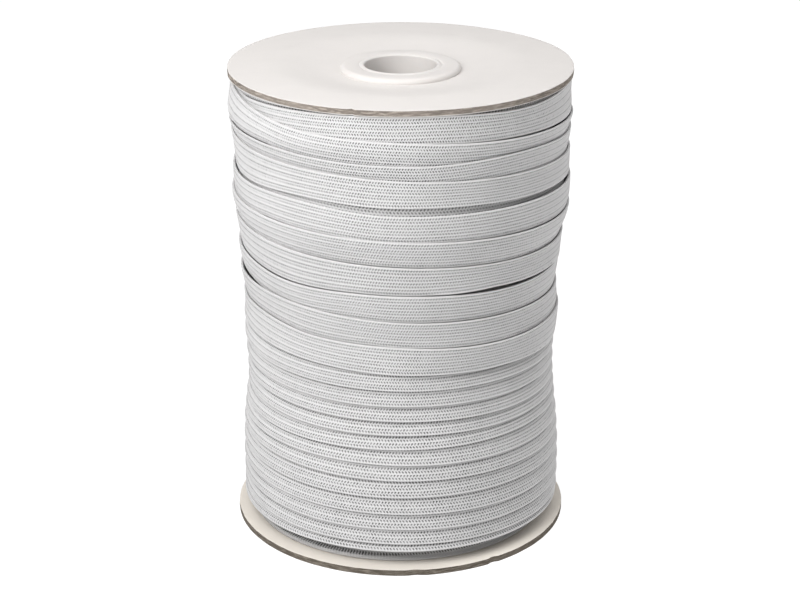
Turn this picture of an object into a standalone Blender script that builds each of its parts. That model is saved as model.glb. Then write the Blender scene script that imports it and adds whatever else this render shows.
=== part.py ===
"""A roll of narrow braided elastic, wound on a board spool that stands on its lower flange.

Metres, +Z up. The origin is on the ground under the middle of the spool, and the front of the roll faces -Y.
"""

import math
from typing import NamedTuple

import bmesh
import bpy

MM = 0.001
GAP = 0.3 * MM  # between pieces that touch on the real roll

# Bushings: a round head over each flange and a sleeve in each end of the tube
HEAD_RADIUS = 14.0 * MM
HEAD_THICKNESS = 1.05 * MM
BORE_RADIUS = 8.5 * MM
SLEEVE_RADIUS = 9.7 * MM
SLEEVE_REACH = 8.0 * MM  # from the head's crest to the sleeve's end
CREST_DROP = 0.15 * MM  # the crest lies this far inside the flange's rim plane

# Core tube
TUBE_INNER = SLEEVE_RADIUS + GAP
TUBE_OUTER = TUBE_INNER + 1.5 * MM

# Flanges: discs of board whose middle the bushing draws in
HEIGHT = 112.0 * MM  # over both rims
FLANGE_RADIUS = 40.0 * MM
BOARD = 1.5 * MM
EDGE_BREAK = 0.2 * MM
DISH = CREST_DROP + HEAD_THICKNESS + GAP
DISH_RADII = (15.0 * MM, 20.0 * MM, 25.0 * MM, 30.0 * MM)
HOLE_RADIUS = TUBE_OUTER + GAP

# Winding
COLUMNS = 48  # around one turn
CREASE_DEPTH = 0.7 * MM  # how far the tucked edge lies inside the edge that covers it
OUTERMOST_TURN = 8.5  # turns down to here lie over the one above them, later ones over the one below
CHANGE_OVER = 0.5  # turns over which that changes, at the back
SHOULDER_ROUND = 0.12 * MM
BELLY = 0.22  # from the free edge to the fullest place, as a share of a turn's face
LEAST_CREASE = 0.1 * MM
FADE = 1.5 * MM  # a turn narrower than this has its relief fade out
TOP_DIP = 0.5 * MM  # how far the first turn sinks from the upper flange at its loosest side
TOP_TIGHT_DEG = -20.0
FIRST_SHOWS_DEG = -97.5  # where the first whole turn comes out from under the flange
LAST_ENDS_COLUMN = 29  # past the front, on the last turn
LOW_EDGE = 5.4 * MM  # height of the last turn's lower edge
LOW_EDGE_LEAN = 0.1 * MM
UNDERLAYER_RADIUS = 35.2 * MM  # the layer that shows below the last turn
SHOULDER_RADIUS = 36.0 * MM  # where the winding's end face starts

# Facets around each turned piece
FLANGE_SIDES = 64
HUB_SIDES = 40
SMOOTH_UNDER_DEG = 35.0


class Turn(NamedTuple):
    """The upper edge of one turn."""

    front_mm: float  # height at the front
    lean_mm: float  # how much more it falls from left to right than an even helix


class Girth(NamedTuple):
    """The winding's outer radius at one height, on the viewer's left and right."""

    height_mm: float
    left_mm: float
    right_mm: float


class Rise(NamedTuple):
    """A stretch where a turn's upper edge lies higher, or lower, than an even helix."""

    turn: int
    angle_deg: float
    spread_deg: float
    rise_mm: float


class OpenCrease(NamedTuple):
    """A place where a turn has slid clear of the one above it."""

    turn: int
    angle_deg: float
    spread_deg: float
    opening_mm: float


TURNS = (
    Turn(104.65, 1.0),
    Turn(99.25, 0.0),
    Turn(95.95, 0.9),
    Turn(87.9, -0.3),
    Turn(81.9, 0.6),
    Turn(75.7, 0.85),
    Turn(68.7, 0.1),
    Turn(62.1, 0.5),
    Turn(56.15, 0.1),
    Turn(49.5, 1.2),
    Turn(45.45, 0.2),
    Turn(41.4, 0.1),
    Turn(37.7, 0.0),
    Turn(34.35, -0.1),
    Turn(30.9, -0.7),
    Turn(27.15, -0.1),
    Turn(23.5, 0.0),
    Turn(19.25, -0.2),
    Turn(14.95, -0.2),
    Turn(11.1, -0.2),
    Turn(7.35, 0.0),
)

GIRTHS = (
    Girth(110.0, 39.2, 39.6),
    Girth(107.0, 39.6, 39.6),
    Girth(102.5, 40.3, 40.1),
    Girth(99.0, 39.6, 39.8),
    Girth(92.0, 39.1, 39.6),
    Girth(85.0, 39.5, 39.9),
    Girth(81.5, 39.6, 40.0),
    Girth(77.5, 38.9, 39.5),
    Girth(73.0, 38.5, 38.4),
    Girth(66.0, 38.2, 37.9),
    Girth(59.5, 37.6, 37.3),
    Girth(55.0, 37.3, 37.9),
    Girth(50.0, 37.7, 37.6),
    Girth(44.0, 37.2, 36.9),
    Girth(36.0, 37.0, 37.1),
    Girth(30.0, 37.6, 37.6),
    Girth(25.0, 38.2, 38.2),
    Girth(14.0, 38.4, 38.7),
    Girth(5.0, 38.4, 38.5),
)

RISES = (
    Rise(0, -45.0, 48.0, -1.2),
    Rise(1, -55.0, 45.0, 0.7),
    Rise(1, 42.0, 40.0, 0.95),
    Rise(3, -38.0, 36.0, 0.85),
    Rise(6, -42.0, 30.0, -0.6),
    Rise(6, 45.0, 45.0, -0.45),
    Rise(7, -50.0, 55.0, 0.9),
    Rise(8, -60.0, 32.0, 1.0),
)

OPEN_CREASES = (
    OpenCrease(0, 60.0, 60.0, 0.6),
    OpenCrease(3, 20.0, 110.0, 1.5),
    OpenCrease(6, 30.0, 70.0, 0.85),
    OpenCrease(7, -70.0, 35.0, 0.8),
    OpenCrease(9, 45.0, 50.0, 0.5),
)


def smooth_through(knots, place):
    """Reads a smooth curve through (place, value) knots that are in rising order."""
    index = 0
    while index < len(knots) - 2 and place > knots[index + 1][0]:
        index += 1

    def slope(at):
        before = knots[max(at - 1, 0)]
        after = knots[min(at + 1, len(knots) - 1)]
        return (after[1] - before[1]) / (after[0] - before[0])

    (x0, y0), (x1, y1) = knots[index], knots[index + 1]
    span = x1 - x0
    t = min(max((place - x0) / span, 0.0), 1.0)
    rise = t * t * (3.0 - 2.0 * t)
    lead = t * (1.0 - t) * (1.0 - t) * span * slope(index)
    trail = t * t * (t - 1.0) * span * slope(index + 1)
    return y0 + (y1 - y0) * rise + lead + trail


def dish(radius):
    """How far the board has come in at this radius."""
    inner, outer = DISH_RADII[0], DISH_RADII[-1]
    t = min(max((radius - inner) / (outer - inner), 0.0), 1.0)
    return DISH * (1.0 - t * t * (3.0 - 2.0 * t))


def srgb(code):
    """Turns a hex colour into linear red, green, blue and alpha."""
    parts = [int(code[at:at + 2], 16) / 255.0 for at in (1, 3, 5)]
    linear = [part / 12.92 if part <= 0.04045 else ((part + 0.055) / 1.055) ** 2.4 for part in parts]
    return (*linear, 1.0)


def finish(name, code, roughness):
    """Makes a plain material from a hex colour and a roughness."""
    material = bpy.data.materials.new(name)
    material.use_nodes = True
    shader = material.node_tree.nodes["Principled BSDF"]
    shader.inputs["Base Color"].default_value = srgb(code)
    shader.inputs["Roughness"].default_value = roughness
    shader.inputs["Metallic"].default_value = 0.0
    return material


def add_object(name, bm, material):
    """Closes off a mesh as a named object, round faces shaded smooth."""
    bmesh.ops.recalc_face_normals(bm, faces=bm.faces)
    mesh = bpy.data.meshes.new(name)
    bm.to_mesh(mesh)
    bm.free()
    mesh.shade_smooth()
    mesh.set_sharp_from_angle(angle=math.radians(SMOOTH_UNDER_DEG))
    mesh.materials.append(material)
    piece = bpy.data.objects.new(name, mesh)
    bpy.context.collection.objects.link(piece)
    return piece


def add_turned(name, outline, sides, material):
    """Spins a closed outline of (radius, height) points about the upright axis."""
    bm = bmesh.new()
    points = [bm.verts.new((radius, 0.0, height)) for radius, height in outline]
    edges = [bm.edges.new(pair) for pair in zip(points, points[1:] + points[:1])]
    bmesh.ops.spin(
        bm,
        geom=points + edges,
        cent=(0.0, 0.0, 0.0),
        axis=(0.0, 0.0, 1.0),
        angle=2.0 * math.pi,
        steps=sides,
        use_merge=True,
    )
    return add_object(name, bm, material)


def at_both_ends(outline_down):
    """Turns an outline given as depths below the upper rim plane into the upper and the lower piece."""
    upper = [(radius, HEIGHT - depth) for radius, depth in outline_down]
    lower = [(radius, depth) for radius, depth in outline_down]
    return upper, lower


def add_flanges(material):
    """The two board discs."""
    radii = (HOLE_RADIUS, *DISH_RADII)
    outline = [(radius, dish(radius)) for radius in radii]
    outline += [
        (FLANGE_RADIUS - EDGE_BREAK, 0.0),
        (FLANGE_RADIUS, EDGE_BREAK),
        (FLANGE_RADIUS, BOARD - EDGE_BREAK),
        (FLANGE_RADIUS - EDGE_BREAK, BOARD),
    ]
    outline += [(radius, dish(radius) + BOARD) for radius in reversed(radii)]
    upper, lower = at_both_ends(outline)
    add_turned("flange_top", upper, FLANGE_SIDES, material)
    add_turned("flange_bottom", lower, FLANGE_SIDES, material)


def add_tube(material):
    """The paper tube, from the outer face of one flange's middle to the other's."""
    outline = [
        (TUBE_INNER, DISH),
        (TUBE_OUTER, DISH),
        (TUBE_OUTER, HEIGHT - DISH),
        (TUBE_INNER, HEIGHT - DISH),
    ]
    add_turned("core_tube", outline, HUB_SIDES, material)


def add_bushings(material):
    """The two moulded bushings: a beaded bore, a fine groove, a round-edged head and a sleeve."""
    crest = CREST_DROP
    under = CREST_DROP + HEAD_THICKNESS
    end = CREST_DROP + SLEEVE_REACH
    outline = [
        (BORE_RADIUS, crest + 0.45 * MM),
        (BORE_RADIUS + 0.15 * MM, crest + 0.12 * MM),
        (BORE_RADIUS + 0.55 * MM, crest),
        (BORE_RADIUS + 1.0 * MM, crest + 0.12 * MM),
        (BORE_RADIUS + 1.25 * MM, crest + 0.3 * MM),
        (BORE_RADIUS + 1.6 * MM, crest + 0.08 * MM),
        (HEAD_RADIUS - 0.8 * MM, crest + 0.1 * MM),
        (HEAD_RADIUS - 0.2 * MM, crest + 0.35 * MM),
        (HEAD_RADIUS, crest + 0.75 * MM),
        (HEAD_RADIUS - 0.1 * MM, under),
        (SLEEVE_RADIUS, under),
        (SLEEVE_RADIUS - 0.1 * MM, end),
        (BORE_RADIUS, end),
    ]
    upper, lower = at_both_ends(outline)
    add_turned("bushing_top", upper, HUB_SIDES, material)
    add_turned("bushing_bottom", lower, HUB_SIDES, material)


def column_angle(column):
    """The angle of a column past the front, to the viewer's right."""
    return 2.0 * math.pi * column / COLUMNS


def place(radius, angle, height):
    """A point on the winding, its angle counted from the front."""
    return (radius * math.sin(angle), -radius * math.cos(angle), height)


def girth(height, angle):
    """The winding's outer radius."""
    left = [(row.height_mm * MM, row.left_mm * MM) for row in reversed(GIRTHS)]
    right = [(row.height_mm * MM, row.right_mm * MM) for row in reversed(GIRTHS)]
    on_left = smooth_through(left, height)
    on_right = smooth_through(right, height)
    return 0.5 * (on_left + on_right) + 0.5 * (on_right - on_left) * math.sin(angle)


def top_rim(angle):
    """Height of the first turn's upper edge, close under the flange."""
    loose = 0.5 - 0.5 * math.cos(angle - math.radians(TOP_TIGHT_DEG))
    return HEIGHT - BOARD - GAP - TOP_DIP * loose


def low_rim(angle):
    """Height of the last turn's lower edge."""
    return LOW_EDGE - LOW_EDGE_LEAN * math.sin(angle)


def swell(column, turn, angle_deg, spread_deg):
    """How near a column is to a place on a turn, from 1 at the place to 0 a spread away."""
    away = 360.0 * column / COLUMNS - 360.0 * turn - angle_deg
    return math.cos(0.5 * math.pi * away / spread_deg) ** 2 if abs(away) < spread_deg else 0.0


def edge_height(column):
    """Height of the turns' upper edge, along its whole way down the roll."""
    first = round(FIRST_SHOWS_DEG * COLUMNS / 360.0)
    last = (len(TURNS) - 1) * COLUMNS + LAST_ENDS_COLUMN
    knots = [(first, top_rim(column_angle(first)))]
    knots += [(index * COLUMNS, turn.front_mm * MM) for index, turn in enumerate(TURNS)]
    knots += [(last, low_rim(column_angle(last)))]
    if column <= first or column >= last:
        return knots[0][1] if column <= first else knots[-1][1]
    nearest = min(max(round(column / COLUMNS), 0), len(TURNS) - 1)
    lean = TURNS[nearest].lean_mm * MM * math.sin(column_angle(column))
    ease = min((column - first) / (COLUMNS / 8.0), 1.0)
    rise = sum(row.rise_mm * MM * swell(column, row.turn, row.angle_deg, row.spread_deg) for row in RISES)
    return smooth_through(knots, column) - lean * ease + rise


def crease_opening(column):
    """Height of the open crease above the upper edge at this column."""
    opening = LEAST_CREASE
    for crease in OPEN_CREASES:
        opening += crease.opening_mm * MM * swell(column, crease.turn, crease.angle_deg, crease.spread_deg)
    return opening


def tucked_above(column):
    """How far the upper edge is tucked under the turn above: 0 down to the outermost turn, then 1."""
    t = min(max((column / COLUMNS - OUTERMOST_TURN) / CHANGE_OVER + 0.5, 0.0), 1.0)
    return t * t * (3.0 - 2.0 * t)


def section(column, first, last):
    """The shoulder, belly and toe of the turn at a column."""
    angle = column_angle(column)
    upper = top_rim(angle) if column < first else edge_height(column)
    lower = low_rim(angle) if column > last - COLUMNS else edge_height(column + COLUMNS)
    fade = min((upper - lower) / FADE, 1.0)
    tuck = (CREASE_DEPTH - SHOULDER_ROUND) * fade
    above, below = tucked_above(column), tucked_above(column + COLUMNS)
    shoulder = girth(upper, angle) - SHOULDER_ROUND * fade - tuck * above
    belly_share = BELLY + (1.0 - 2.0 * BELLY) * 0.5 * (above + below)
    belly_height = upper - belly_share * (upper - lower)
    toe_height = lower + crease_opening(column + COLUMNS) * fade
    if column > last - COLUMNS:
        toe_height = lower
    toe = girth(lower, angle) - SHOULDER_ROUND - tuck * (1.0 - below)
    return (
        place(shoulder, angle, upper),
        place(girth(belly_height, angle), angle, belly_height),
        place(toe, angle, toe_height),
    )


def add_face(bm, corners):
    """Adds a face, or a smaller one where corners fall together."""
    apart = [corner for at, corner in enumerate(corners) if corner is not corners[at - 1]]
    if len(apart) > 2:
        bm.faces.new(apart)


def add_ring(bm, first, radius, height_at):
    """Adds a ring of points that starts at the first column, its heights given by a function of the angle."""
    angles = [column_angle(first + step) for step in range(COLUMNS)]
    return [bm.verts.new(place(radius, angle, height_at(angle))) for angle in angles]


def level(height):
    """The same height at every angle."""
    return lambda angle: height


def join_rings(bm, rings):
    """Adds the faces between each ring and the next."""
    for ring, following in zip(rings, rings[1:]):
        for at in range(COLUMNS):
            after = (at + 1) % COLUMNS
            add_face(bm, [ring[at], ring[after], following[after], following[at]])


def add_winding(material):
    """The elastic: helical turns that shingle down the roll, flat ends and the hollow for the tube."""
    bm = bmesh.new()
    first = round(FIRST_SHOWS_DEG * COLUMNS / 360.0)
    last = (len(TURNS) - 1) * COLUMNS + LAST_ENDS_COLUMN

    sections = {}
    for column in range(first - COLUMNS + 1, last):
        sections[column] = [bm.verts.new(point) for point in section(column, first, last)]
    initial = sections[first][0]
    final = sections[last - COLUMNS][2]
    sections[first - COLUMNS] = [initial, initial, initial]
    sections[last] = [final, final, final]

    for column in range(first - COLUMNS, last):
        here, onward = sections[column], sections[column + 1]
        for row in range(2):
            add_face(bm, [here[row], here[row + 1], onward[row + 1], onward[row]])
        if column + 1 <= last - COLUMNS:
            below, below_onward = sections[column + COLUMNS], sections[column + COLUMNS + 1]
            add_face(bm, [here[2], below[0], below_onward[0], onward[2]])

    end_radii = (SHOULDER_RADIUS, *reversed(DISH_RADII), HOLE_RADIUS)
    top_start = first - COLUMNS
    top_rings = [[sections[top_start + step][0] for step in range(COLUMNS)]]
    for radius in end_radii:
        under_flange = level(HEIGHT - BOARD - GAP - dish(radius))
        top_rings.append(add_ring(bm, top_start, radius, under_flange))

    low_start = last - COLUMNS
    low_rings = [[sections[low_start + step][2] for step in range(COLUMNS)]]
    low_rings.append(add_ring(bm, low_start, UNDERLAYER_RADIUS, low_rim))
    for radius in (UNDERLAYER_RADIUS, *reversed(DISH_RADII), HOLE_RADIUS):
        over_flange = level(BOARD + GAP + dish(radius))
        low_rings.append(add_ring(bm, low_start, radius, over_flange))

    join_rings(bm, top_rings)
    join_rings(bm, low_rings)
    turned_by = (low_start - top_start) % COLUMNS
    inner_top = top_rings[-1]
    join_rings(bm, [inner_top[turned_by:] + inner_top[:turned_by], low_rings[-1]])
    return add_object("elastic_winding", bm, material)


def main():
    """Clears the scene and builds the roll."""
    for old in list(bpy.data.objects):
        bpy.data.objects.remove(old)
    elastic = finish("braided_elastic", "#d9dad9", 0.9)
    lined_board = finish("white_lined_board", "#e6dfd8", 0.75)
    grey_board = finish("core_board", "#b3a898", 0.9)
    plastic = finish("white_moulded_plastic", "#efeeec", 0.35)
    add_winding(elastic)
    add_flanges(lined_board)
    add_tube(grey_board)
    add_bushings(plastic)


main()
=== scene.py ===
"""Looks of the roll of braided elastic: the wound band, the lined board spool and its moulded bushings.

Lengths are in millimetres until a mesh is made, and in metres from there on. Angles are counted from the
front of the roll, which faces -Y, and grow towards the viewer's right. A place along the band is given in
turns, and a whole number is at the front.
"""

import logging
import math
from collections.abc import Sequence
from dataclasses import dataclass, field
from enum import Enum
from typing import Any

import bpy
import numpy as np
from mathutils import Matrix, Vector, noise


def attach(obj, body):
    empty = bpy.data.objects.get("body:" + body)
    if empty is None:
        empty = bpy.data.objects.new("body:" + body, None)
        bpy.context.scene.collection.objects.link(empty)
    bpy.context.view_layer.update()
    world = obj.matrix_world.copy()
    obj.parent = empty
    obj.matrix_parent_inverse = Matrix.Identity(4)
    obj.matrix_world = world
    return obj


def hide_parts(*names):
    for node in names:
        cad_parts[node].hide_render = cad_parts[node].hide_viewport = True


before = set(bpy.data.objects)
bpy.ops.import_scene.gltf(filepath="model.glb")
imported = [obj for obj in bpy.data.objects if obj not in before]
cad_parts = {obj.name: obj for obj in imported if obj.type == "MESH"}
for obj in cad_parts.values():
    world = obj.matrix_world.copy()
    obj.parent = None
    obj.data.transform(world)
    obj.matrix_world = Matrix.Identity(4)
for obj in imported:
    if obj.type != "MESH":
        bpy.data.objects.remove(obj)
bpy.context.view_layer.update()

LOG = logging.getLogger("roll_of_elastic")
MM = 0.001
TAU = 2.0 * math.pi
SPOOL_HEIGHT = 112.0
BOARD = 1.5
HOLE_RADIUS = 11.8  # of the hole in each flange
SMOOTH_ANGLE = 32.0  # turned pieces are shaded smooth across edges flatter than this
BAND_WIDTH = 6.35
BAND_THICKNESS = 0.6
Pair = tuple[float, float]
Outline = Sequence[Pair]


class Slot(str, Enum):
    """The record's material slots."""

    ELASTIC = "braided_elastic"
    BOARD = "lined_board"
    TUBE = "grey_board"
    PLASTIC = "moulded_plastic"


class End(Enum):
    """The two ends of the spool, each with the sign of its outward direction."""

    UPPER = 1.0
    LOWER = -1.0


class Row(Enum):
    """What runs along the band at one line of its cross-section."""

    EDGE = "edge"
    SELVEDGE = "selvedge"
    EARLY_PITS = "pits on whole stitches"
    LATE_PITS = "pits on half stitches"
    BETWEEN = "between two rows of pits"
    RIDGE = "ridge over a rubber cord"
    BACK = "back"


def linear(code: str) -> tuple[float, float, float, float]:
    """Turns an sRGB hex colour into linear red, green, blue and alpha.

    Args:
        code: The colour, such as "#d8d8d6".

    Returns:
        The linear colour with an alpha of one.
    """
    parts = [int(code[at:at + 2], 16) / 255.0 for at in (1, 3, 5)]
    return (*[part / 12.92 if part <= 0.04045 else ((part + 0.055) / 1.055) ** 2.4 for part in parts], 1.0)


def fill(tree: bpy.types.NodeTree, node: bpy.types.Node, inputs: dict[int | str, Any]) -> None:
    """Sets or links a node's inputs.

    Args:
        tree: The node tree.
        node: The node.
        inputs: Values or other nodes' outputs by input name or number.
    """
    for key, value in inputs.items():
        if isinstance(value, bpy.types.NodeSocket):
            tree.links.new(value, node.inputs[key])
        else:
            node.inputs[key].default_value = value


def add_node(
    tree: bpy.types.NodeTree,
    kind: str,
    inputs: dict[int | str, Any] | None = None,
    output: int | str = 0,
    **settings: Any,
) -> bpy.types.NodeSocket:
    """Adds a node with its settings, and fills or links its inputs.

    Args:
        tree: The node tree.
        kind: The node's type name without its leading "ShaderNode".
        inputs: Values or other nodes' outputs by input name or number.
        output: The output that is returned.
        **settings: Properties of the node.

    Returns:
        The node's output socket.
    """
    node = tree.nodes.new("ShaderNode" + kind)
    for name, value in settings.items():
        setattr(node, name, value)
    fill(tree, node, inputs or {})
    return node.outputs[output]


def ramp(value: bpy.types.NodeSocket, ends: Pair, low: float = 0.3, high: float = 0.7) -> dict[int, Any]:
    """Says which stretch of a value is mapped to which tones.

    Args:
        value: The value, which is a noise texture's where low and high are left out.
        ends: What low and high become.
        low: Where the stretch begins.
        high: Where it ends.

    Returns:
        The inputs of a MapRange node.
    """
    return {0: value, 1: low, 2: high, 3: ends[0], 4: ends[1]}


def new_material(name: str) -> tuple[bpy.types.Material, bpy.types.NodeTree, bpy.types.Node]:
    """Starts a node material.

    Args:
        name: The material's name.

    Returns:
        The material, its node tree and its shader.
    """
    material = bpy.data.materials.new(name)
    material.use_nodes = True
    return material, material.node_tree, material.node_tree.nodes["Principled BSDF"]


def smooth_step(share: np.ndarray | float) -> np.ndarray | float:
    """Eases a share from 0 to 1, level at both ends."""
    held = np.clip(share, 0.0, 1.0)
    return held * held * (3.0 - 2.0 * held)


def smooth_through(knots: Sequence[Pair], places: np.ndarray) -> np.ndarray:
    """Reads a smooth curve through knots.

    Args:
        knots: (place, value) pairs in rising order.
        places: Where the curve is read.

    Returns:
        The curve's values.
    """
    xs, ys = np.array(knots, float).T
    order = np.arange(len(xs))
    before, after = np.maximum(order - 1, 0), np.minimum(order + 1, len(xs) - 1)
    slopes = (ys[after] - ys[before]) / (xs[after] - xs[before])
    at = np.clip(np.searchsorted(xs, places, side="right") - 1, 0, len(xs) - 2)
    span = xs[at + 1] - xs[at]
    t = np.clip((places - xs[at]) / span, 0.0, 1.0)
    lead = t * (1.0 - t) ** 2 * span * slopes[at]
    trail = t * t * (t - 1.0) * span * slopes[at + 1]
    return ys[at] + (ys[at + 1] - ys[at]) * t * t * (3.0 - 2.0 * t) + lead + trail


def ride(piece: bpy.types.Object, slot: Slot, *stands_for: str) -> None:
    """Sets a finished piece on the roll's one body and says what it stands for.

    Args:
        piece: The finished object.
        slot: The record's slot that it takes its finish from; not used.
        *stands_for: The CAD nodes that it replaces.
    """
    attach(piece, "root")
    if stands_for:
        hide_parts(*stands_for)
    LOG.info("%s: %d faces, in place of %s", piece.name, len(piece.data.polygons), stands_for or "nothing")


# Finishes


@dataclass(frozen=True)
class PolyesterYarn:
    """White spun polyester braided over rubber cords: dead matt, faintly furred, with shade painted into the
    pits where the yarns part.
    """

    name: str = "braided_polyester_yarn"
    yarn: str = "#e2e1e1"
    # painted shade: the colour of the shadow inside a pit where the yarns part
    pit_shade: str = "#3a3a3a"
    pit_length: float = 0.33  # half the pit along the band, in stitches
    pit_width: float = 0.21  # half the pit across the band, in pairs of ribs
    pit_shade_begins: float = 1.2  # where a pit's painted shade starts, 1 at its rim
    pit_shade_full: float = 0.3  # where it is darkest
    palest_pit_shade: float = 0.6  # how dark the palest painted pit shade is beside the darkest
    slant: float = 1.1  # stitches that a pit leans along for each pair of ribs across
    late_row: float = 0.474  # place of the second row of pits between two first rows
    last_pair: float = 3.0
    pitted: float = 2.0  # half the width that has pits, in pairs of ribs
    selvedge_shade_from: float = 1.9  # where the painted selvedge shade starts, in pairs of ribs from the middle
    selvedge_shade_full: float = 2.15
    # painted shade: how dark the selvedges are painted
    selvedge_shade_tone: float = 0.84
    rib_shade_from: float = 0.1  # how far beside a pair's own middle the yarns start to rise, in pairs of ribs
    rib_shade_tones: Pair = (0.97, 1.0)  # the rib tones paint shade where the yarns sink inside a pair; these pairs are what the colour is multiplied by, least and most
    strand_tones: Pair = (0.88, 1.04)
    cloud_tones: Pair = (0.97, 1.02)
    fur_tones: Pair = (0.94, 1.04)
    clouds: float = 90.0  # to the metre, so about 11 mm across
    fur: float = 5200.0  # to the metre, so about 0.2 mm, coarser than real fibre so that it shows
    bump: float = 0.05 * MM
    sheen: float = 0.05

    def nearness(
        self,
        tree: bpy.types.NodeTree,
        along: bpy.types.NodeSocket,
        across: bpy.types.NodeSocket,
        row: float,
        stitch: float,
        slant: float,
    ) -> bpy.types.NodeSocket:
        """Measures how far a place is from the nearest pit of one row in every pair.

        Args:
            tree: The material's node tree.
            along: Stitches along the band.
            across: Pairs of ribs across the band.
            row: The row's place in its pair.
            stitch: The pits' place in their stitch.
            slant: How far the pits lean along the band.

        Returns:
            The distance, which is 1 at a pit's rim.
        """
        from_row = add_node(tree, "Math", {0: across, 1: row}, operation="SUBTRACT")
        off_row = add_node(tree, "Math", {0: from_row, 1: 0.5, 2: -0.5}, operation="WRAP")
        from_stitch = add_node(tree, "Math", {0: along, 1: stitch}, operation="SUBTRACT")
        leaning = add_node(tree, "Math", {0: off_row, 1: slant, 2: from_stitch}, operation="MULTIPLY_ADD")
        off_stitch = add_node(tree, "Math", {0: leaning, 1: 0.5, 2: -0.5}, operation="WRAP")
        gap = add_node(tree, "CombineXYZ", {0: off_stitch, 1: off_row})
        shrink = (1.0 / self.pit_length, 1.0 / self.pit_width, 0.0)
        scaled = add_node(tree, "VectorMath", {0: gap, 1: shrink}, operation="MULTIPLY")
        return add_node(tree, "VectorMath", {0: scaled}, "Value", operation="LENGTH")

    def make(self) -> bpy.types.Material:
        """Builds the node material, which reads stitches along and pairs of ribs across from BandMap.

        Returns:
            The material.
        """
        material, tree, shader = new_material(self.name)
        place = add_node(tree, "UVMap", uv_map="BandMap")
        along = add_node(tree, "SeparateXYZ", {0: place}, "X")
        across = add_node(tree, "SeparateXYZ", {0: place}, "Y")
        # The pits are painted dark, painted shade where the yarns part, each pit a little paler or darker at
        # random
        early = self.nearness(tree, along, across, 0.0, 0.0, self.slant)
        late = self.nearness(tree, along, across, self.late_row, 0.5, -self.slant)
        nearest = add_node(tree, "Math", {0: early, 1: late}, operation="MINIMUM")
        pit_shade_range = ramp(nearest, (0.0, 1.0), self.pit_shade_begins, self.pit_shade_full)
        pit_shade = add_node(tree, "MapRange", pit_shade_range, interpolation_type="SMOOTHSTEP")
        middle = 0.5 * (self.last_pair + self.late_row)
        in_field = add_node(tree, "Math", {0: across, 1: middle, 2: self.pitted}, operation="COMPARE")
        stitch = add_node(tree, "Math", {0: along}, operation="ROUND")
        row = add_node(tree, "Math", {0: across, 1: 2.0}, operation="MULTIPLY")
        row_number = add_node(tree, "Math", {0: row}, operation="ROUND")
        cell = add_node(tree, "CombineXYZ", {0: stitch, 1: row_number})
        chance = add_node(tree, "TexWhiteNoise", {0: cell}, noise_dimensions="2D")
        pit_depth = add_node(tree, "MapRange", {0: chance, 3: self.palest_pit_shade, 4: 1.0})
        dark = add_node(tree, "Math", {0: pit_shade, 1: in_field}, operation="MULTIPLY")
        painted_pit_shade = add_node(tree, "Math", {0: dark, 1: pit_depth}, operation="MULTIPLY")

        # The yarns rise over the cords between two pairs of rows and sink between a pair's own rows, where a
        # little shade is painted in
        from_pair = add_node(tree, "Math", {0: across, 1: 0.5 * self.late_row}, operation="SUBTRACT")
        to_pair = add_node(tree, "Math", {0: from_pair, 1: 0.5}, operation="PINGPONG")
        rib_shade = add_node(tree, "MapRange", ramp(to_pair, self.rib_shade_tones, self.rib_shade_from, 0.5))

        # Yarns lean one way over each cord and the other way beside it, two to a stitch
        leaning = add_node(tree, "Math", {0: to_pair, 1: self.slant, 2: along}, operation="MULTIPLY_ADD")
        strand = add_node(tree, "Math", {0: leaning, 1: 0.25}, operation="PINGPONG")
        strand_tone = add_node(tree, "MapRange", ramp(strand, self.strand_tones, 0.0, 0.25))

        object_place = add_node(tree, "TexCoord", output="Object")
        cloudy = add_node(tree, "TexNoise", {"Vector": object_place, "Scale": self.clouds, "Detail": 3.0})
        cloud_tone = add_node(tree, "MapRange", ramp(cloudy, self.cloud_tones))
        fur = add_node(tree, "TexNoise", {"Vector": object_place, "Scale": self.fur, "Detail": 2.0})
        fur_tone = add_node(tree, "MapRange", ramp(fur, self.fur_tones, 0.25, 0.75))

        # The selvedges are painted darker: painted shade that damps the light their upturned edges catch
        from_middle = add_node(tree, "Math", {0: across, 1: middle}, operation="SUBTRACT")
        outward = add_node(tree, "Math", {0: from_middle}, operation="ABSOLUTE")
        selvedge_shade = ramp(outward, (1.0, self.selvedge_shade_tone), self.selvedge_shade_from, self.selvedge_shade_full)
        selvedge_shade_factor = add_node(tree, "MapRange", selvedge_shade)
        tone = rib_shade
        for factor in (strand_tone, selvedge_shade_factor, cloud_tone, fur_tone):
            tone = add_node(tree, "Math", {0: tone, 1: factor}, operation="MULTIPLY")

        # The yarn is mixed towards the painted pit shade
        mixed = {"Factor": painted_pit_shade, 6: linear(self.yarn), 7: linear(self.pit_shade)}
        yarn = add_node(tree, "Mix", mixed, 2, data_type="RGBA")
        toned = add_node(tree, "VectorMath", {0: yarn, 3: tone}, operation="SCALE")

        height = add_node(tree, "Math", {0: strand, 1: 2.0, 2: fur}, operation="MULTIPLY_ADD")
        bump = add_node(tree, "Bump", {"Strength": 0.5, "Distance": self.bump, "Height": height})
        fill(tree, shader, {
            "Base Color": toned,
            "Normal": bump,
            "Roughness": 0.9,
            "Sheen Weight": self.sheen,
            "Sheen Roughness": 0.5,
            "Specular IOR Level": 0.25,
        })
        return material


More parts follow.
